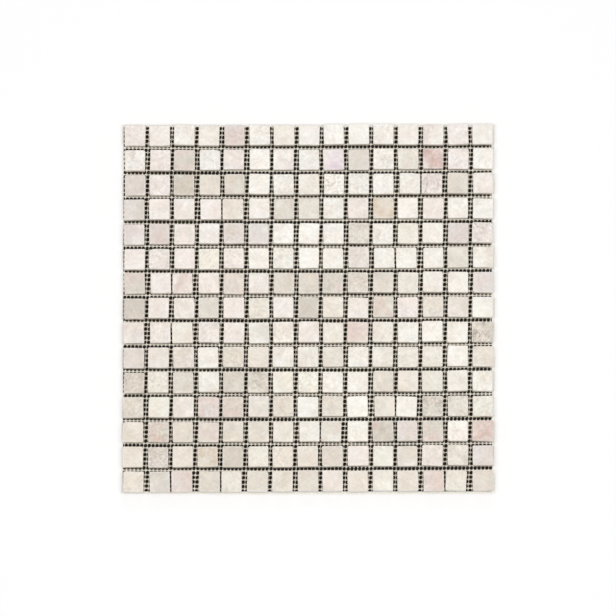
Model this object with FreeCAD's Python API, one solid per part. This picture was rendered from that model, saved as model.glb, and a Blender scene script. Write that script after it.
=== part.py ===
import FreeCAD, Part
import math
import os
import random

# Mosaic sheet of tumbled marble tiles on a glass-fibre net, lying flat with the tiles up.
# Millimetres. The origin is the middle of the underside of the net, +Z is up to the tile faces
# and +Y is towards row 1, the top row of the sheet.

# Tiles
tiles_across = 15
tile_rows = 15
tile_side = 17.05
tile_thickness = 9.5
joint_width = 3.27

# How tumbling and laying by hand make the tiles uneven
side_spread = 0.3
thickness_spread = 0.15
square_spread = 0.12
slip_spread = 0.42
turn_spread = 1.1
corner_cut_least = 0.6
corner_cut_most = 1.5
arris_chamfer = 0.55
laying_seed = 20

# The grid isn't quite square: each tile of a row is a little higher than the one to its left,
# and each row is a little further left than the row above it
row_climb = 0.095
row_lag = 0.075

# Tiles that nearly touch the next tile to their right, as (row, column)
snug_gap = 0.7
snug_tiles = [(3, 12), (4, 4), (6, 11), (7, 2), (9, 2), (12, 11), (13, 8), (15, 2), (15, 4), (15, 13)]

# Tiles that are laid askew, with the turn in degrees, anticlockwise seen from above
askew_tiles = {(1, 14): 2.6, (2, 9): 2.4, (5, 8): -2.2, (9, 10): -1.8, (11, 14): 2.0, (12, 10): 1.9,
               (12, 12): -2.2, (13, 11): 2.0, (14, 13): -1.9, (15, 14): -2.6}

# Net: the warp threads run near Y in the lower layer, leaning to +X at their +Y end by some
# degrees, and the weft threads run along X on top of them. Warp pitch and width are along X.
net_overhang = 1.635
warp_pitch = 3.14
warp_width = 1.0
warp_height = 0.4
warp_lean = 3.7
shortest_warp = 15
weft_pitch = 3.68
weft_width = 1.25
weft_height = 0.4
weft_offset = -0.42

tile_pitch = tile_side + joint_width
field_length_x = tiles_across * tile_pitch - joint_width
field_length_y = tile_rows * tile_pitch - joint_width
net_length_x = field_length_x + 2 * net_overhang
net_length_y = field_length_y + 2 * net_overhang
weft_bottom = warp_height
tile_bottom = weft_bottom + weft_height


def thread_centres(pitch, first_from_middle, width, room):
    """Places of parallel threads that lie wholly inside a room about the middle of the net."""
    reach = (room - width) / 2
    lowest = math.ceil((-reach - first_from_middle) / pitch)
    highest = math.floor((reach - first_from_middle) / pitch)
    return [first_from_middle + step * pitch for step in range(lowest, highest + 1)]


def leaning_thread(x, slant):
    """A flat thread that crosses the middle of the net at x and is off by the slant at its ends."""
    end_y = net_length_y / 2
    left, right = x - warp_width / 2, x + warp_width / 2
    corners = [FreeCAD.Vector(left - slant, -end_y, 0), FreeCAD.Vector(right - slant, -end_y, 0),
               FreeCAD.Vector(right + slant, end_y, 0), FreeCAD.Vector(left + slant, end_y, 0)]
    outline = Part.makePolygon(corners + [corners[0]])
    return Part.Face(outline).extrude(FreeCAD.Vector(0, 0, warp_height))


def warp_threads():
    """The lower layer: leaning threads, cut off where they pass the left or right side of the net."""
    slant = math.tan(math.radians(warp_lean)) * net_length_y / 2
    net_corner = FreeCAD.Vector(-net_length_x / 2, -net_length_y / 2, 0)
    net_room = Part.makeBox(net_length_x, net_length_y, warp_height, net_corner)
    threads = []
    for x in thread_centres(warp_pitch, warp_pitch / 2, warp_width, net_length_x + 2 * slant):
        thread = leaning_thread(x, slant)
        if abs(x) + slant + warp_width / 2 > net_length_x / 2:
            thread = thread.common(net_room)
        threads += [solid for solid in thread.Solids if solid.BoundBox.YLength > shortest_warp]
    return threads


def weft_threads():
    """The upper layer: flat threads along X that lie face to face on the warp threads."""
    threads = []
    for y in thread_centres(weft_pitch, weft_offset, weft_width, net_length_y):
        corner = FreeCAD.Vector(-net_length_x / 2, y - weft_width / 2, weft_bottom)
        threads.append(Part.makeBox(net_length_x, weft_width, weft_height, corner))
    return threads


def tile_outline(draw):
    """Eight corners of a nearly square tile whose four corners are worn off, about its middle."""
    half_x = tile_side / 2 + draw.uniform(-side_spread, side_spread) / 2
    half_y = tile_side / 2 + draw.uniform(-side_spread, side_spread) / 2
    corners = []
    for sign_x, sign_y in ((1, 1), (-1, 1), (-1, -1), (1, -1)):
        x = sign_x * half_x + draw.uniform(-square_spread, square_spread)
        y = sign_y * half_y + draw.uniform(-square_spread, square_spread)
        corners.append(FreeCAD.Vector(x, y, 0))
    outline = []
    for number, corner in enumerate(corners):
        for neighbour in (corners[number - 1], corners[(number + 1) % 4]):
            along = (neighbour - corner).normalize()
            outline.append(corner + along * draw.uniform(corner_cut_least, corner_cut_most))
    return outline


def worn_tile(draw):
    """One tile standing on the net, with the arris round its face worn to a narrow slope."""
    outline = tile_outline(draw)
    thickness = tile_thickness + draw.uniform(-thickness_spread, thickness_spread)
    base = Part.Face(Part.makePolygon(outline + [outline[0]]))
    block = base.extrude(FreeCAD.Vector(0, 0, thickness))
    face_edges = [edge for edge in block.Edges if edge.BoundBox.ZMin > thickness / 2]
    return block.makeChamfer(arris_chamfer, face_edges)


def lay_tile(draw, row, column):
    """A worn tile at its place in the grid, with the slip and turn of laying by hand."""
    tile = worn_tile(draw)
    slip_x = draw.uniform(-slip_spread, slip_spread)
    slip_y = draw.uniform(-slip_spread, slip_spread)
    turn = draw.uniform(-turn_spread, turn_spread)
    tile.rotate(FreeCAD.Vector(0, 0, 0), FreeCAD.Vector(0, 0, 1), askew_tiles.get((row, column), turn))
    across = column - (tiles_across + 1) / 2
    down = row - (tile_rows + 1) / 2
    x = across * tile_pitch - down * row_lag + slip_x
    y = across * row_climb - down * tile_pitch + slip_y
    tile.translate(FreeCAD.Vector(x, y, tile_bottom))
    return tile


def close_up(left_tile, right_tile):
    """Push two neighbours towards each other until only the snug gap is left between them."""
    gap = right_tile.BoundBox.XMin - left_tile.BoundBox.XMax
    push = (gap - snug_gap) / 2
    left_tile.translate(FreeCAD.Vector(push, 0, 0))
    right_tile.translate(FreeCAD.Vector(-push, 0, 0))


def lay_row(draw, row):
    """The tiles of one row from left to right, with its snug pairs closed up."""
    tiles = [lay_tile(draw, row, column) for column in range(1, tiles_across + 1)]
    for snug_row, column in snug_tiles:
        if snug_row == row and column < tiles_across:
            close_up(tiles[column - 1], tiles[column])
    return tiles


def write_node(name, solids):
    """One STEP file for a node, with its solids side by side."""
    Part.makeCompound(solids).exportStep("parts/" + name + ".step")


os.makedirs("parts", exist_ok=True)
write_node("mesh_warp", warp_threads())
write_node("mesh_weft", weft_threads())
laying = random.Random(laying_seed)
for row in range(1, tile_rows + 1):
    write_node("tile_row_%02d" % row, lay_row(laying, row))
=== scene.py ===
import math
import random

import bmesh
import bpy
import numpy as np
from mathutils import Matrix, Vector


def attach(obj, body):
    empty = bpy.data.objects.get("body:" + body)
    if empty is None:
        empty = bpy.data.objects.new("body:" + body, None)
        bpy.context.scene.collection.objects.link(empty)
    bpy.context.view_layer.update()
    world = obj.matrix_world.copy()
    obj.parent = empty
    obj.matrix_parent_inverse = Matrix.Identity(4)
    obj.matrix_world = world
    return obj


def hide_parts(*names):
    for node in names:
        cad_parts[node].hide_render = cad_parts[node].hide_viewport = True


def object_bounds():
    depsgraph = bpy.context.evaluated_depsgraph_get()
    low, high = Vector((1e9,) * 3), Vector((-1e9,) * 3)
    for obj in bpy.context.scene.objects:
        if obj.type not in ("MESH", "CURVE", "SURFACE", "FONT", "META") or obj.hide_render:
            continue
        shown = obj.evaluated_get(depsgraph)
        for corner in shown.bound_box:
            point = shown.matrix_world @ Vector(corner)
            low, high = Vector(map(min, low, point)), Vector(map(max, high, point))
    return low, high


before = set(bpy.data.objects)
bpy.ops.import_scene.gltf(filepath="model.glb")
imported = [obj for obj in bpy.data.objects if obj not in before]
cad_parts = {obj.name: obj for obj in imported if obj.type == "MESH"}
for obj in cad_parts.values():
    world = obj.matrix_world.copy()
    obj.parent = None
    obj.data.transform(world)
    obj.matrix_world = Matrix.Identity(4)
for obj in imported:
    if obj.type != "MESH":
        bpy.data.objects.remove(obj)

# Mosaic sheet: tumbled marble tiles on a glass-fibre net. Metres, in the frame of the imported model.

MM = 0.001
cad_low, cad_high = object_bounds()
FACE_HEIGHT = cad_high.z
END_TOLERANCE = 1e-5
WELD_DISTANCE = 1e-6

# Picture, read from the photograph in its own pixels
PICTURE_PIXELS = 616
TILE_PITCH_PIXELS = 24.91
TILE_PITCH = 20.32 * MM
SHEET_MIDDLE_PIXEL = (308.4, 307.35)
CAMERA_TILT = math.radians(6.7)
CAMERA_DISTANCE = 8.0
CAMERA_SIGHT = 100
SENSOR = 36.0

# Light and stage
SKY_LEVEL = 0.6
FLOOR_COLOR = (0.86, 0.86, 0.86, 1)
FLOOR_GLOW = 0.155
FLOOR_REACH = 30
FLOOR_TOP = -0.5 * MM
FLOOR_BOTTOM = -20 * MM
# Dark card under the sheet: painted shade in the net's openings, reaching further out at the left for the
# shade along the left edge
PAINTED_SHADE_CARD_COLOR = (0.015, 0.0095, 0.005, 1)
CARD_ROUGHNESS = 0.9
CARD_TOP = -0.03 * MM
CARD_MARGIN = 2.6 * MM
PAINTED_SHADE_LEFT_MARGIN = 1.2 * MM

# Tile outline, whose corners are curves pulled towards the sharp corner and the side ends
TILE_SIDES = 4
OUTLINE_CORNERS = 2 * TILE_SIDES
LONG_SIDE = 8 * MM
SIDE_STEPS = 14
CORNER_STEPS = 6
SHARP_PULL = 0.85
END_PULL = 0.075
OUTLINE_WORN = 0.11 * MM
OUTLINE_WEAR = 0.3 * MM
WAVE_STRENGTH = (0.3, 1.0)

# Rings of a tile, from the underside up its side, round the arris and into the face
SIDE_RINGS = 4
ARRIS_ANGLES = (0, 30, 60, 90)
FACE_START = SIDE_RINGS + len(ARRIS_ANGLES) - 1
FACE_RINGS = (0.8 * MM, 1.9 * MM, 3.2 * MM, 4.8 * MM, 6.6 * MM)
ARRIS_RADIUS = 0.7 * MM
ARRIS_UNEVEN = 0.3
BACK_ARRIS = 0.3 * MM
BACK_ARRIS_BEND = 0.3

# Chips of a tile, each value as (least, most), with depth and reach in millimetres
CHIPS = (1, 3)
SIDE_CHIP_DEPTH = (0.12, 0.5)
SIDE_CHIP_REACH = (0.9, 3.0)
CORNER_CHIP_DEPTH = (0.25, 1.0)
CORNER_CHIP_REACH = (1.2, 2.6)
CHIP_STEEPNESS = (0.35, 1.2)

# How deep a cut is chalky all over
CHALKY_CUT = 0.2 * MM

# Shallow hollows of a tile's face, as waves across and along it
HOLLOW_DEPTH = 0.05 * MM
HOLLOW_BENDS = (2.2, 2.6)
HOLLOW_SLIP = 3

# Net threads, whose crossings are swollen by the resin that bonds them
THREAD_SIDES = 4
THREAD_EDGE = math.radians(60)
NET_MIDDLE = 0.4 * MM
WEFT_HALF_WIDTH = 0.33 * MM
WEFT_HALF_HEIGHT = 0.18 * MM
WEFT_SWELLING = 2.7
SWELLING_RISE = 0.5
SWELLING_HALF_LENGTH = 0.45 * MM
SWELLING_END = 0.95 * MM
WARP_HALF_WIDTH = 0.15 * MM
WARP_HALF_HEIGHT = 0.19 * MM
KNOT_HALF_WIDTH = 0.8 * MM
KNOT_HALF_HEIGHT = 0.39 * MM
KNOT_END = 1.5 * MM
WEFT_BOW = 0.85 * MM
MEAN_OF_SQUARE = 1 / 3
CUT_SPREAD = 0.5 * MM

# How uneven the threads are, as shares of their width and as slips in millimetres
WEFT_UNEVEN = (0.88, 1.08)
WARP_UNEVEN = (0.88, 1.1)
WEFT_SWAY = 0.03
WARP_SWAY = 0.06
WEFT_SLIP = 0.06

# Stone tones as (red, green, blue), linear
TONES = {
    "white": (0.925, 0.891, 0.82),
    "ivory": (0.883, 0.847, 0.742),
    "cream": (0.84, 0.776, 0.682),
    "blush": (0.895, 0.822, 0.765),
    "rose": (0.76, 0.64, 0.58),
    "deep_rose": (0.70, 0.51, 0.45),
    "lilac": (0.775, 0.705, 0.66),
    "violet": (0.81, 0.70, 0.74),
    "beige": (0.768, 0.708, 0.617),
    "grey_beige": (0.69, 0.635, 0.55),
    "ochre": (0.70, 0.56, 0.40),
}

# Contrast of a tile's two tones, how much less blue the bottom row is, and how unequal tiles are
PLAIN_CONTRAST = 0.8
ACCENT_CONTRAST = 1.0
ROW_WARMTH = 0.01
LEVEL_SPREAD = 0.02

# Share of the second tone, veins as (mean, spread), and how far tiles lie apart in the stone
SECOND_SHARE = (0.1, 0.6)
VEINS = (0.04, 0.12)
STONE_REACH = 9

# How often each tone comes up: at the left of the top row, in its rest, and in the bottom row
LEFT_MIX = {"white": 4, "blush": 12, "lilac": 1, "cream": 1}
TOP_MIX = {"white": 14, "ivory": 1, "cream": 1, "blush": 2}
BOTTOM_MIX = {"white": 1, "ivory": 4, "cream": 9, "blush": 1, "lilac": 1, "beige": 5}
LEFT_COLUMNS = 5

# Seeds of the random draws
WEAR_SEED = 5
STONE_SEED = 7473
NET_SEED = 9

# Tiles that stand out in the photograph, as (row, column): (tone, second tone, share, vein)
ACCENTS = {
    (1, 5): ("rose", "lilac", 0.4, 0.1),
    (1, 13): ("white", "rose", 0.35, 0.1),
    (2, 3): ("rose", "grey_beige", 0.4, 0.0),
    (2, 7): ("lilac", "white", 0.5, 0.0),
    (2, 9): ("violet", "blush", 0.45, 0.0),
    (2, 10): ("beige", "lilac", 0.5, 0.0),
    (2, 13): ("deep_rose", "blush", 0.55, 0.2),
    (3, 1): ("lilac", "grey_beige", 0.3, 0.0),
    (3, 3): ("grey_beige", "ochre", 0.15, 0.1),
    (3, 5): ("beige", "grey_beige", 0.3, 0.0),
    (3, 9): ("white", "white", 0.0, 0.4),
    (3, 13): ("lilac", "white", 0.2, 0.5),
    (3, 14): ("beige", "grey_beige", 0.2, 0.0),
    (4, 1): ("lilac", "grey_beige", 0.4, 0.0),
    (4, 8): ("beige", "cream", 0.4, 0.0),
    (4, 11): ("beige", "ochre", 0.2, 0.0),
    (5, 1): ("lilac", "blush", 0.3, 0.0),
    (5, 2): ("lilac", "rose", 0.5, 0.0),
    (5, 5): ("lilac", "grey_beige", 0.2, 0.1),
    (5, 10): ("beige", "cream", 0.4, 0.3),
    (5, 14): ("lilac", "lilac", 0.0, 0.1),
    (5, 15): ("blush", "lilac", 0.4, 0.6),
    (6, 14): ("beige", "beige", 0.0, 0.0),
    (7, 1): ("rose", "grey_beige", 0.5, 0.0),
    (7, 3): ("blush", "rose", 0.3, 0.0),
    (7, 5): ("rose", "beige", 0.3, 0.0),
    (7, 7): ("beige", "grey_beige", 0.4, 0.0),
    (7, 8): ("beige", "grey_beige", 0.3, 0.0),
    (7, 9): ("grey_beige", "rose", 0.2, 0.2),
    (7, 15): ("lilac", "lilac", 0.0, 0.0),
    (8, 1): ("grey_beige", "beige", 0.2, 0.0),
    (8, 4): ("beige", "beige", 0.0, 0.0),
    (8, 8): ("grey_beige", "grey_beige", 0.0, 0.0),
    (8, 11): ("beige", "deep_rose", 0.15, 0.0),
    (9, 10): ("rose", "beige", 0.3, 0.0),
    (9, 15): ("beige", "grey_beige", 0.4, 0.9),
    (10, 1): ("grey_beige", "lilac", 0.5, 0.0),
    (10, 9): ("beige", "beige", 0.0, 0.0),
    (10, 10): ("white", "white", 0.0, 0.1),
    (11, 1): ("grey_beige", "beige", 0.2, 0.3),
    (11, 5): ("grey_beige", "grey_beige", 0.0, 0.1),
    (11, 6): ("beige", "grey_beige", 0.4, 0.4),
    (12, 4): ("rose", "lilac", 0.4, 0.1),
    (12, 5): ("beige", "rose", 0.4, 0.1),
    (12, 10): ("white", "white", 0.0, 0.0),
    (12, 13): ("beige", "grey_beige", 0.5, 0.5),
    (13, 2): ("grey_beige", "deep_rose", 0.3, 0.2),
    (13, 4): ("beige", "rose", 0.3, 0.0),
    (13, 11): ("grey_beige", "deep_rose", 0.15, 0.1),
    (13, 13): ("grey_beige", "rose", 0.4, 0.1),
    (13, 15): ("rose", "deep_rose", 0.45, 0.2),
    (14, 2): ("grey_beige", "lilac", 0.4, 0.4),
    (14, 4): ("beige", "ochre", 0.4, 0.1),
    (14, 5): ("grey_beige", "grey_beige", 0.0, 0.0),
    (15, 2): ("lilac", "grey_beige", 0.5, 0.0),
    (15, 3): ("rose", "lilac", 0.3, 0.0),
    (15, 8): ("beige", "rose", 0.35, 0.0),
    (15, 13): ("rose", "lilac", 0.4, 0.1),
    (15, 15): ("beige", "rose", 0.2, 0.0),
}

# Clouds of the second tone: their edge in the noise, how far the share moves it, how soft it is
CLOUD_START = 0.33
CLOUD_RANGE = 0.34
CLOUD_SOFTNESS = 0.17

# How much each pattern of the marble lightens and darkens it
QUIET_MOTTLE = 0.35
VEINED_MOTTLE = 1.5
BLOTCH_SWING = 0.25
BED_SWING = 0.26
BED_STRETCH = (5.0, 1.0, 1.0)

# Colours that are laid over the marble, and how strongly
COOL_HUE = (1.002, 1.012, 1.024, 1)
WARM_HUE = (0.99, 0.965, 0.956, 1)
VEIN_COLOR = (0.36, 0.32, 0.28, 1)
PIT_COLOR = (0.5, 0.42, 0.32, 1)
PIT_STRENGTH = 0.35
CHALK_COLOR = (0.93, 0.91, 0.88, 1)
CHALK_STRENGTH = 0.4
# Painted light: the side faces are painted lighter, fading round the arris, for light that falls on them
PAINTED_SIDE_LIGHT_COLOR = (0.95, 0.905, 0.83, 1)
PAINTED_SIDE_LIGHT_STRENGTH = 0.6

# Surface of the marble
GRAIN_HEIGHT = 0.25
MOTTLE_HEIGHT = 0.5
SMOOTHEST = 0.42
ROUGHNESS_RANGE = 0.25

# Yarn of the net
DULL_FIBRE = (0.945, 0.895, 0.79, 1)
PALE_FIBRE = (0.975, 0.94, 0.855, 1)
FIBRE_GAP = (0.74, 0.68, 0.565, 1)
FIBRE_GAP_STRENGTH = 0.2
FIBRE_ROUGHNESS = 0.45


def loose_parts(node):
    """The solids of a CAD node, each as an array of its corners, from left to right."""
    work = bmesh.new()
    work.from_mesh(node.data)
    bmesh.ops.remove_doubles(work, verts=work.verts, dist=WELD_DISTANCE)
    parts, seen = [], set()
    for start in work.verts:
        if start in seen:
            continue
        seen.add(start)
        island, reached = [], [start]
        while reached:
            vert = reached.pop()
            island.append(tuple(vert.co))
            for edge in vert.link_edges:
                other = edge.other_vert(vert)
                if other not in seen:
                    seen.add(other)
                    reached.append(other)
        parts.append(np.array(island))
    work.free()
    return sorted(parts, key=lambda part: part[:, 0].mean())


def new_piece(name, vertices, faces, material):
    """A smooth mesh object."""
    mesh = bpy.data.meshes.new(name)
    mesh.from_pydata(vertices, [], faces)
    mesh.shade_smooth()
    mesh.materials.append(material)
    piece = bpy.data.objects.new(name, mesh)
    bpy.context.scene.collection.objects.link(piece)
    return piece


def ring_faces(first, rings, count):
    """Faces between rings of corners that are stored ring by ring from a first one on."""
    faces = []
    for ring in range(rings - 1):
        here, above = first + ring * count, first + (ring + 1) * count
        for number in range(count):
            following = (number + 1) % count
            faces.append((here + number, here + following, above + following, above + number))
    return faces


def waves(draw, positions, lowest, highest, size):
    """A smooth closed wobble along positions from 0 to 1, as a sum of sines."""
    total = np.zeros(len(positions))
    for count in range(lowest, highest + 1):
        strength = draw.uniform(*WAVE_STRENGTH) * lowest / count
        total += strength * np.sin(2 * math.pi * (count * positions + draw.random()))
    return size * total / math.sqrt(highest - lowest + 1)


def base_outline(part):
    """The eight corners of a CAD tile's underside, anticlockwise, starting before a long side."""
    lowest = part[:, 2].min()
    ring = part[part[:, 2] < lowest + END_TOLERANCE][:, :2]
    middle = ring.mean(0)
    ring = ring[np.argsort(np.arctan2(*(ring - middle).T[::-1]))]
    if np.linalg.norm(ring[1] - ring[0]) < LONG_SIDE:
        ring = np.roll(ring, -1, axis=0)
    return ring


def line_crossing(point_a, way_a, point_b, way_b):
    """Where two lines in the plane cross."""
    along = np.linalg.solve(np.array([way_a, -way_b]).T, point_b - point_a)[0]
    return point_a + along * way_a


def rounded_outline(ring):
    """The outline of a tile as a closed row of points, with straight sides and rounded corners."""
    points = []
    for number in range(0, OUTLINE_CORNERS, 2):
        start, end = ring[number], ring[number + 1]
        after, beyond = ring[(number + 2) % OUTLINE_CORNERS], ring[(number + 3) % OUTLINE_CORNERS]
        for step in range(SIDE_STEPS):
            points.append(start + (end - start) * step / SIDE_STEPS)
        corner = line_crossing(end, end - start, after, after - beyond)
        control = corner * SHARP_PULL + (end + after) * END_PULL
        for step in range(CORNER_STEPS):
            t = step / CORNER_STEPS
            points.append(end * (1 - t) ** 2 + control * 2 * t * (1 - t) + after * t ** 2)
    return np.array(points)


def tile_profile(radius, low, high):
    """How far in from the outline and how high each ring of a tile lies, from the underside up."""
    profile = [
        (BACK_ARRIS, low),
        (BACK_ARRIS * BACK_ARRIS_BEND, low + BACK_ARRIS * BACK_ARRIS_BEND),
        (0, low + BACK_ARRIS),
        (0, (low + high) / 2),
    ]
    for angle in ARRIS_ANGLES:
        bend = math.radians(angle)
        profile.append((radius * (1 - math.cos(bend)), high - radius * (1 - math.sin(bend))))
    return profile + [(radius + inset, high) for inset in FACE_RINGS]


def chip(rings, draw, outline, middle, top, corner):
    """Breaks a small hollow-sided piece off the arris, by a bent cut that ends at both sides."""
    if corner:
        number = draw.randrange(TILE_SIDES)
        place = number * (SIDE_STEPS + CORNER_STEPS) + SIDE_STEPS + CORNER_STEPS // 2
        depths, reaches = CORNER_CHIP_DEPTH, CORNER_CHIP_REACH
    else:
        place = draw.randrange(len(outline))
        depths, reaches = SIDE_CHIP_DEPTH, SIDE_CHIP_REACH
    depth, reach = draw.uniform(*depths) * MM, draw.uniform(*reaches) * MM
    outward = outline[place] - middle
    outward = outward / np.linalg.norm(outward)
    normal = np.array([outward[0], outward[1], draw.uniform(*CHIP_STEEPNESS)])
    normal /= np.linalg.norm(normal)
    side = np.array([-outward[1], outward[0], 0.0])
    offset = rings - np.array([*outline[place], top])
    along = offset @ side
    height = offset @ normal + depth - depth * (along / reach) ** 2
    cut = np.clip(height, 0, None)
    rings -= cut[..., None] * normal
    return cut


def hollow_face(rings, draw, middle, half):
    """Sinks the face of a tile by a shallow wave across it and another along it."""
    slip_x, slip_y = draw.uniform(-1, 1), draw.uniform(-1, 1)
    face = rings[FACE_START:]
    reach = (face[..., :2] - middle) / half
    across = np.sin(HOLLOW_BENDS[0] * reach[..., 0] + HOLLOW_SLIP * slip_x)
    along = np.cos(HOLLOW_BENDS[1] * reach[..., 1] + HOLLOW_SLIP * slip_y)
    face[..., 2] -= HOLLOW_DEPTH * (1 + across * along)


def worn_tile(part, draw):
    """Corners, faces, wear and painted light on the sides of one tumbled tile, in the place of the CAD
    tile.
    """
    outline = rounded_outline(base_outline(part))
    middle = outline.mean(0)
    half = np.abs(outline - middle).max(0).mean()
    low, high = part[:, 2].min(), part[:, 2].max()
    places = np.arange(len(outline)) / len(outline)
    radius = ARRIS_RADIUS * (1 + waves(draw, places, lowest=3, highest=12, size=ARRIS_UNEVEN))
    wobble = waves(draw, places, lowest=2, highest=9, size=OUTLINE_WEAR)
    shrink = OUTLINE_WORN + np.abs(wobble)
    rings = []
    for inset, height in tile_profile(radius, low, high):
        scale = 1 - (inset + shrink) / half
        flat = middle + (outline - middle) * np.reshape(scale, (-1, 1))
        rings.append(np.column_stack([flat, np.broadcast_to(height, len(flat))]))
    rings = np.array(rings)
    wear = np.zeros(rings.shape[:2])
    wear[SIDE_RINGS:FACE_START + 1] = 1
    for corner in (False, True):
        for _ in range(draw.randint(*CHIPS)):
            wear += chip(rings, draw, outline, middle, high, corner) / CHALKY_CUT
    hollow_face(rings, draw, middle, half)
    # Painted light on the side faces: full up the side, fading round the arris
    painted_side_light = np.zeros(rings.shape[:2])
    painted_side_light[:SIDE_RINGS] = 1
    painted_side_light[SIDE_RINGS:FACE_START] = np.cos(np.radians(ARRIS_ANGLES[:-1]))[:, None]
    vertices = [tuple(corner) for corner in rings.reshape(-1, 3)]
    vertices.append((*middle, rings[-1, :, 2].mean()))
    count = len(outline)
    faces = [tuple(range(count - 1, -1, -1))] + ring_faces(0, len(rings), count)
    last = (len(rings) - 1) * count
    faces += [(last + number, last + (number + 1) % count, last + count) for number in range(count)]
    return vertices, faces, np.append(np.clip(wear, 0, 1).ravel(), 0), np.append(painted_side_light.ravel(), 0)


def pick_tone(draw, column, share_down):
    """A tone name, by odds that change evenly from the top row to the bottom row."""
    top = LEFT_MIX if column <= LEFT_COLUMNS else TOP_MIX
    names = sorted(set(top) | set(BOTTOM_MIX))
    odds = [top.get(n, 0) * (1 - share_down) + BOTTOM_MIX.get(n, 0) * share_down for n in names]
    return draw.choices(names, odds)[0]


def stone_of(draw, row, column, rows):
    """The two tones, the share of the second and the strength of the veins of one tile."""
    share_down = (row - 1) / (rows - 1)
    tone, second = pick_tone(draw, column, share_down), pick_tone(draw, column, share_down)
    share, vein = draw.uniform(*SECOND_SHARE), max(0.0, draw.gauss(*VEINS))
    contrast = PLAIN_CONTRAST
    if (row, column) in ACCENTS:
        tone, second, share, vein = ACCENTS[(row, column)]
        contrast = ACCENT_CONTRAST
    level = (1 + draw.gauss(0, LEVEL_SPREAD)) * np.array([1, 1, 1 - ROW_WARMTH * share_down])
    first = level * np.array(TONES[tone])
    other = first + contrast * (level * np.array(TONES[second]) - first)
    return first, other, share, vein


def give_attribute(mesh, name, kind, values):
    """Stores one value for each vertex under a name that the material reads."""
    key = {"FLOAT": "value", "FLOAT_COLOR": "color", "FLOAT_VECTOR": "vector"}[kind]
    attribute = mesh.attributes.new(name, kind, "POINT")
    attribute.data.foreach_set(key, np.asarray(values, np.float32).ravel())


def tile_row(name, row, rows, draw, stones, material):
    """All the tiles of one row as one piece that stands for the CAD node."""
    vertices, faces = [], []
    wear, painted_side_light, tone, second, stone, shift = [], [], [], [], [], []
    for column, part in enumerate(loose_parts(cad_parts[name]), 1):
        tile_vertices, tile_faces, tile_wear, tile_painted_side_light = worn_tile(part, draw)
        first, count = len(vertices), len(tile_vertices)
        vertices += tile_vertices
        faces += [tuple(first + corner for corner in face) for face in tile_faces]
        wear.append(tile_wear)
        painted_side_light.append(tile_painted_side_light)
        tone_color, second_color, share, vein = stone_of(stones, row, column, rows)
        place = tuple(draw.uniform(-STONE_REACH, STONE_REACH) for _ in range(3))
        tone += [(*tone_color, 1)] * count
        second += [(*second_color, 1)] * count
        stone += [(share, vein, draw.random())] * count
        shift += [place] * count
    piece = new_piece(name.replace("tile_row", "marble_tiles"), vertices, faces, material)
    give_attribute(piece.data, "wear", "FLOAT", np.concatenate(wear))
    give_attribute(piece.data, "painted_side_light", "FLOAT", np.concatenate(painted_side_light))
    give_attribute(piece.data, "tone", "FLOAT_COLOR", tone)
    give_attribute(piece.data, "second", "FLOAT_COLOR", second)
    give_attribute(piece.data, "stone", "FLOAT_VECTOR", stone)
    give_attribute(piece.data, "shift", "FLOAT_VECTOR", shift)
    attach(piece, "root")
    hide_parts(name)


def thread_ring(along, across, half_width, half_height):
    """One ring of a flattened thread, as (along, across, height) for each of its sides."""
    ring = []
    for side in range(THREAD_SIDES):
        turn = 2 * math.pi * side / THREAD_SIDES
        height = NET_MIDDLE + half_height * math.sin(turn)
        ring.append((along, across + half_width * math.cos(turn), height))
    return ring


def weft_line(y, x):
    """Where along Y a weft thread runs at x: it bows down in the middle, and its mean stays at y."""
    return y + WEFT_BOW * ((x / cad_high.x) ** 2 - MEAN_OF_SQUARE)


def weft_thread(y, crossings, draw):
    """A thread along X that bows a little and swells at each warp thread."""
    low = cad_low.x + draw.uniform(0, CUT_SPREAD)
    high = cad_high.x - draw.uniform(0, CUT_SPREAD)
    stations = [(low, 1)]
    for x in crossings:
        swelling = WEFT_SWELLING * draw.uniform(*WEFT_UNEVEN)
        stations += [(x - SWELLING_END, 1), (x - SWELLING_HALF_LENGTH, swelling),
                     (x + SWELLING_HALF_LENGTH, swelling), (x + SWELLING_END, 1)]
    stations.append((high, 1))
    rings = []
    for x, swelling in stations:
        x = min(max(x, low), high)
        half_width = WEFT_HALF_WIDTH * swelling
        half_height = WEFT_HALF_HEIGHT * (1 + (swelling - 1) * SWELLING_RISE)
        across = weft_line(y, x) + draw.uniform(-WEFT_SWAY, WEFT_SWAY) * MM
        across = min(max(across, cad_low.y + half_width), cad_high.y - half_width)
        rings += thread_ring(x, across, half_width, half_height)
    return rings


def warp_thread(place, low, high, lean, crossings, draw):
    """A leaning thread near Y that widens to a knot round each weft thread."""
    low, high = low + draw.uniform(0, CUT_SPREAD), high - draw.uniform(0, CUT_SPREAD)
    stations = [(low, False)]
    for y in crossings:
        stations += [(y - KNOT_END, False), (y, True), (y + KNOT_END, False)]
    stations.append((high, False))
    rings = []
    for y, knot in stations:
        y = min(max(y, low), high)
        half_width = (KNOT_HALF_WIDTH if knot else WARP_HALF_WIDTH) * draw.uniform(*WARP_UNEVEN)
        half_height = KNOT_HALF_HEIGHT if knot else WARP_HALF_HEIGHT
        across = place + lean * y + draw.uniform(-WARP_SWAY, WARP_SWAY) * MM
        across = min(max(across, cad_low.x + half_width), cad_high.x - half_width)
        ring = thread_ring(y, across, half_width, half_height)
        rings += [(point[1], point[0], point[2]) for point in reversed(ring)]
    return rings


def net_piece(name, node, threads, material):
    """Threads of one direction as one piece, which stands for a CAD node."""
    vertices, faces = [], []
    for thread in threads:
        first, last = len(vertices), len(vertices) + len(thread) - THREAD_SIDES
        faces.append(tuple(first + side for side in reversed(range(THREAD_SIDES))))
        faces += ring_faces(first, len(thread) // THREAD_SIDES, THREAD_SIDES)
        faces.append(tuple(last + side for side in range(THREAD_SIDES)))
        vertices += thread
    piece = new_piece(name, vertices, faces, material)
    piece.data.set_sharp_from_angle(angle=THREAD_EDGE)
    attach(piece, "root")
    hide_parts(node)


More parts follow.
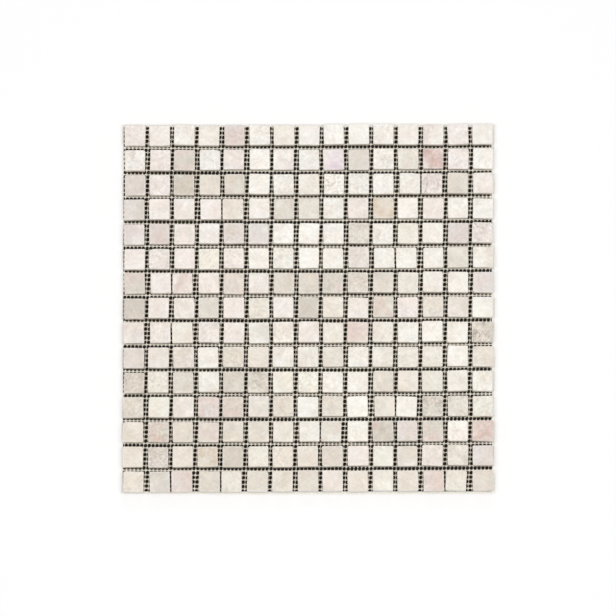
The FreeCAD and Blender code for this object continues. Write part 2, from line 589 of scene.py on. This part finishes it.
def warp_lines():
    """The lean of the CAD warp threads, as X over Y, and the place and ends of each from the left."""
    parts = loose_parts(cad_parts["mesh_warp"])
    middle = parts[len(parts) // 2]
    upper = middle[middle[:, 1] > middle[:, 1].max() - END_TOLERANCE, 0].mean()
    lower = middle[middle[:, 1] < middle[:, 1].min() + END_TOLERANCE, 0].mean()
    lean = (upper - lower) / np.ptp(middle[:, 1])
    lines = []
    for part in parts:
        offset = part[:, 0] - lean * part[:, 1]
        lines.append(((offset.min() + offset.max()) / 2, part[:, 1].min(), part[:, 1].max()))
    return lean, sorted(lines)


def make_net(draw, material):
    """The glass-fibre net: weft threads held in the knots of the warp threads."""
    lean, lines = warp_lines()
    weft_parts = loose_parts(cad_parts["mesh_weft"])
    weft_places = sorted((part[:, 1].min() + part[:, 1].max()) / 2 for part in weft_parts)
    weft_places = [y + draw.uniform(-WEFT_SLIP, WEFT_SLIP) * MM for y in weft_places]
    weft_crossings = [[] for _ in weft_places]
    warp_crossings = [[] for _ in lines]
    for warp, (place, low, high) in enumerate(lines):
        for weft, weft_place in enumerate(weft_places):
            y = weft_line(weft_place, place + lean * weft_place)
            x = place + lean * y
            if abs(x) < cad_high.x - SWELLING_END and low < y < high:
                weft_crossings[weft].append(x)
                warp_crossings[warp].append(y)
    wefts = [weft_thread(y, crossings, draw) for y, crossings in zip(weft_places, weft_crossings)]
    warps = [warp_thread(*line, lean, crossings, draw) for line, crossings in zip(lines, warp_crossings)]
    weft_half, warp_half = len(wefts) // 2, len(warps) // 2
    net_piece("net_weft_lower", "mesh_weft", wefts[:weft_half], material)
    net_piece("net_weft_upper", "mesh_weft", wefts[weft_half:], material)
    net_piece("net_warp_left", "mesh_warp", warps[:warp_half], material)
    net_piece("net_warp_right", "mesh_warp", warps[warp_half:], material)


class Nodes:
    """Short ways to add and join the nodes of one material or world."""

    def __init__(self, owner, output="ShaderNodeOutputMaterial"):
        self.owner, self.output = owner, output
        owner.use_nodes = True
        self.tree = owner.node_tree
        self.tree.nodes.clear()

    def add(self, kind, inputs=None, **settings):
        node = self.tree.nodes.new(kind)
        for key, value in settings.items():
            setattr(node, key, value)
        for key, value in (inputs or {}).items():
            if isinstance(value, bpy.types.NodeSocket):
                self.tree.links.new(value, node.inputs[key])
            else:
                node.inputs[key].default_value = value
        return node

    def math(self, operation, first, second=0.0, third=0.0, clamp=False):
        inputs = {0: first, 1: second, 2: third}
        return self.add("ShaderNodeMath", inputs, operation=operation, use_clamp=clamp).outputs[0]

    def swing(self, value, amount):
        """A factor about one, from a value about a half."""
        return self.math("MULTIPLY_ADD", value, amount, 1 - amount / 2)

    def vector(self, operation, first, second):
        return self.add("ShaderNodeVectorMath", {0: first, 1: second}, operation=operation).outputs[0]

    def mix(self, share, first, second, blend="MIX"):
        inputs = {0: share, 6: first, 7: second}
        return self.add("ShaderNodeMix", inputs, data_type="RGBA", blend_type=blend).outputs[2]

    def multiply(self, first, second):
        return self.mix(1.0, first, second, "MULTIPLY")

    def noise(self, place, scale, detail=2.0, roughness=0.5, distortion=0.0):
        inputs = {"Vector": place, "Scale": scale, "Detail": detail, "Roughness": roughness,
                  "Distortion": distortion}
        return self.add("ShaderNodeTexNoise", inputs).outputs[0]

    def ramp(self, value, low, high):
        inputs = {0: value, 1: low, 2: high}
        return self.add("ShaderNodeMapRange", inputs, interpolation_type="SMOOTHSTEP").outputs[0]

    def attribute(self, name, output):
        return self.add("ShaderNodeAttribute", attribute_name=name).outputs[output]

    def bump(self, height, strength, distance):
        inputs = {"Strength": strength, "Distance": distance, "Height": height}
        return self.add("ShaderNodeBump", inputs).outputs[0]

    def surface(self, color, roughness, more=None):
        inputs = {"Base Color": color, "Roughness": roughness, **(more or {})}
        return self.finish(self.add("ShaderNodeBsdfPrincipled", inputs).outputs[0])

    def finish(self, shader):
        self.add(self.output, {"Surface": shader})
        return self.owner


def marble_material():
    """Tumbled marble: two cloudy tones, mottling, bedding, veins, pits, chalky arrises, and painted light
    on the sides.
    """
    n = Nodes(bpy.data.materials.new("marble"))
    place = n.add("ShaderNodeTexCoord").outputs["Object"]
    place = n.vector("ADD", place, n.attribute("shift", "Vector"))
    stone = n.add("ShaderNodeSeparateXYZ", {0: n.attribute("stone", "Vector")}).outputs
    share, vein, bedding = stone[0], stone[1], n.math("MULTIPLY", stone[2], math.pi)

    cloud = n.noise(place, scale=75.0, detail=3.0, roughness=0.5, distortion=0.4)
    edge = n.math("MULTIPLY_ADD", n.math("SUBTRACT", 1.0, share), CLOUD_RANGE, CLOUD_START)
    mask = n.ramp(cloud, n.math("SUBTRACT", edge, CLOUD_SOFTNESS), n.math("ADD", edge, CLOUD_SOFTNESS))
    color = n.mix(mask, n.attribute("tone", "Color"), n.attribute("second", "Color"))

    mottle = n.noise(place, scale=420.0, detail=4.0, roughness=0.6)
    busy = n.math("MULTIPLY_ADD", vein, VEINED_MOTTLE, QUIET_MOTTLE, clamp=True)
    shade = n.math("MULTIPLY_ADD", n.math("SUBTRACT", mottle, 0.5), busy, 1.0)
    blotches = n.noise(place, scale=170.0, detail=2.0, roughness=0.5)
    shade = n.math("MULTIPLY", shade, n.swing(blotches, BLOTCH_SWING))
    turned = n.add("ShaderNodeVectorRotate", {"Vector": place, "Angle": bedding}, rotation_type="Z_AXIS")
    along_beds = n.vector("MULTIPLY", turned.outputs[0], BED_STRETCH)
    beds = n.noise(along_beds, scale=80.0, detail=3.0, roughness=0.6, distortion=0.5)
    shade = n.math("MULTIPLY", shade, n.swing(beds, BED_SWING))
    color = n.multiply(color, shade)
    hue_field = n.ramp(n.noise(place, scale=60.0, detail=1.0), low=0.38, high=0.62)
    color = n.multiply(color, n.mix(hue_field, COOL_HUE, WARM_HUE))

    warped = n.noise(place, scale=90.0, detail=3.0, roughness=0.55, distortion=1.4)
    ridge = n.math("ABSOLUTE", n.math("SUBTRACT", warped, 0.5))
    line = n.math("SUBTRACT", 1.0, n.ramp(ridge, low=0.006, high=0.05))
    vein_field = n.ramp(n.noise(place, scale=110.0, detail=1.0), low=0.42, high=0.58)
    line = n.math("MULTIPLY", n.math("MULTIPLY", line, vein_field), vein, clamp=True)
    color = n.mix(line, color, VEIN_COLOR)

    cells = n.add("ShaderNodeTexVoronoi", {"Vector": place, "Scale": 420.0, "Randomness": 1.0}).outputs[0]
    pit = n.math("SUBTRACT", 1.0, n.ramp(cells, low=0.08, high=0.2))
    pit_field = n.ramp(n.noise(place, scale=160.0, detail=2.0, roughness=0.5), low=0.52, high=0.62)
    pit = n.math("MULTIPLY", pit, pit_field)
    color = n.mix(n.math("MULTIPLY", pit, PIT_STRENGTH), color, PIT_COLOR)

    chalk = n.ramp(n.noise(place, scale=300.0), low=0.42, high=0.66)
    chalk = n.math("MULTIPLY", n.attribute("wear", "Fac"), chalk)
    color = n.mix(n.math("MULTIPLY", chalk, CHALK_STRENGTH), color, CHALK_COLOR)
    # Painted light: the side faces lightened towards a pale tone
    painted_side_light = n.math("MULTIPLY", n.attribute("painted_side_light", "Fac"), PAINTED_SIDE_LIGHT_STRENGTH)
    color = n.mix(painted_side_light, color, PAINTED_SIDE_LIGHT_COLOR)

    grain = n.noise(place, scale=1500.0, detail=3.0, roughness=0.6)
    height = n.math("SUBTRACT", n.math("MULTIPLY", grain, GRAIN_HEIGHT), pit)
    height = n.math("MULTIPLY_ADD", mottle, MOTTLE_HEIGHT, height)
    bump = n.bump(height, strength=0.35, distance=0.12 * MM)
    rough = n.math("MULTIPLY_ADD", mottle, ROUGHNESS_RANGE, SMOOTHEST)
    return n.surface(color, rough, {"Normal": bump, "Specular IOR Level": 0.4})


def fibre_material():
    """Resin-coated glass yarn: off-white, with fine fibres and a soft sheen."""
    n = Nodes(bpy.data.materials.new("glass_fibre"))
    place = n.add("ShaderNodeTexCoord").outputs["Object"]
    fibres = n.noise(place, scale=3500.0, detail=2.0, roughness=0.6)
    patches = n.noise(place, scale=300.0, detail=2.0, roughness=0.5)
    color = n.mix(patches, DULL_FIBRE, PALE_FIBRE)
    color = n.mix(n.math("MULTIPLY", fibres, FIBRE_GAP_STRENGTH), color, FIBRE_GAP)
    bump = n.bump(fibres, strength=0.5, distance=0.05 * MM)
    return n.surface(color, FIBRE_ROUGHNESS, {"Normal": bump, "Specular IOR Level": 0.5})


def floor_material():
    """A pale floor, with a glow for the camera and for mirrors alone that takes it up to white."""
    n = Nodes(bpy.data.materials.new("floor"))
    rays = n.add("ShaderNodeLightPath").outputs
    seen = n.math("ADD", rays["Is Camera Ray"], rays["Is Glossy Ray"])
    seen = n.math("ADD", seen, rays["Is Transmission Ray"], clamp=True)
    paint = n.add("ShaderNodeBsdfDiffuse", {"Color": FLOOR_COLOR}).outputs[0]
    strength = n.math("MULTIPLY", seen, FLOOR_GLOW)
    glow = n.add("ShaderNodeEmission", {"Color": (1, 1, 1, 1), "Strength": strength}).outputs[0]
    return n.finish(n.add("ShaderNodeAddShader", {0: paint, 1: glow}).outputs[0])


def box_object(name, low, high, material):
    """A plain box for the stage."""
    work = bmesh.new()
    bmesh.ops.create_cube(work, size=1.0)
    low, high = Vector(low), Vector(high)
    for vert in work.verts:
        vert.co = (low + high) / 2 + Vector(a * b for a, b in zip(vert.co, high - low))
    mesh = bpy.data.meshes.new(name)
    work.to_mesh(mesh)
    work.free()
    mesh.materials.append(material)
    thing = bpy.data.objects.new(name, mesh)
    bpy.context.scene.collection.objects.link(thing)


def make_camera():
    """A far camera that leans a little to the lower side of the sheet, as the photograph's does."""
    pixel = TILE_PITCH / TILE_PITCH_PIXELS
    data = bpy.data.cameras.new("camera")
    data.sensor_width = SENSOR
    data.lens = SENSOR * CAMERA_DISTANCE / (PICTURE_PIXELS * pixel)
    data.clip_end = CAMERA_SIGHT
    camera = bpy.data.objects.new("camera", data)
    bpy.context.scene.collection.objects.link(camera)
    right = PICTURE_PIXELS / 2 - SHEET_MIDDLE_PIXEL[0]
    up = SHEET_MIDDLE_PIXEL[1] - PICTURE_PIXELS / 2
    aim = Vector((right * pixel, up * pixel, FACE_HEIGHT))
    back = Vector((0, -math.sin(CAMERA_TILT), math.cos(CAMERA_TILT)))
    camera.location = aim + back * CAMERA_DISTANCE
    camera.rotation_euler = (CAMERA_TILT, 0, 0)
    bpy.context.scene.camera = camera


def area_lamp(name, place, size_x, size_y, watts):
    """A soft rectangular lamp that points at the middle of the sheet."""
    data = bpy.data.lights.new(name, "AREA")
    data.shape = "RECTANGLE"
    data.size, data.size_y = size_x, size_y
    data.energy = watts
    lamp = bpy.data.objects.new(name, data)
    lamp.location = place
    lamp.rotation_mode = "QUATERNION"
    lamp.rotation_quaternion = (Vector((0, 0, 0)) - Vector(place)).to_track_quat("-Z", "Y")
    lamp.visible_camera = False
    bpy.context.scene.collection.objects.link(lamp)


def make_light():
    """Even sky light, a long softbox overhead, and a weak lamp beyond the top edge of the sheet."""
    n = Nodes(bpy.data.worlds.new("studio"), "ShaderNodeOutputWorld")
    rays = n.add("ShaderNodeLightPath").outputs
    seen = n.math("MAXIMUM", rays["Is Camera Ray"], rays["Is Transmission Ray"])
    sky = n.add("ShaderNodeBackground", {"Color": (1, 1, 1, 1), "Strength": SKY_LEVEL}).outputs[0]
    backdrop = n.add("ShaderNodeBackground", {"Strength": 1.0}).outputs[0]
    mixed = n.add("ShaderNodeMixShader", {0: seen, 1: sky, 2: backdrop}).outputs[0]
    bpy.context.scene.world = n.finish(mixed)
    area_lamp("overhead", place=(0, -0.18, 2.0), size_x=1.6, size_y=0.32, watts=16)
    area_lamp("far_side", place=(0, 1.3, 1.2), size_x=0.8, size_y=0.5, watts=1.5)


def make_stage():
    """The pale floor, and a dark card under the sheet: painted shade that shows through the net in its
    joints and at its left edge.
    """
    card = Nodes(bpy.data.materials.new("painted_shade_card")).surface(PAINTED_SHADE_CARD_COLOR, CARD_ROUGHNESS)
    card_low = (cad_low.x + PAINTED_SHADE_LEFT_MARGIN, cad_low.y + CARD_MARGIN, FLOOR_TOP)
    card_high = (cad_high.x - CARD_MARGIN, cad_high.y - CARD_MARGIN, CARD_TOP)
    box_object("painted_shade_card", card_low, card_high, card)
    floor_low = (-FLOOR_REACH, -FLOOR_REACH, FLOOR_BOTTOM)
    floor_high = (FLOOR_REACH, FLOOR_REACH, FLOOR_TOP)
    box_object("floor", floor_low, floor_high, floor_material())


make_camera()
make_light()
make_stage()
marble = marble_material()
wearing, stones = random.Random(WEAR_SEED), random.Random(STONE_SEED)
row_names = sorted(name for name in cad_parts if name.startswith("tile_row"))
for row, name in enumerate(row_names, 1):
    tile_row(name, row, len(row_names), wearing, stones, marble)
make_net(random.Random(NET_SEED), fibre_material())

bpy.context.scene.view_settings.view_transform = "Standard"
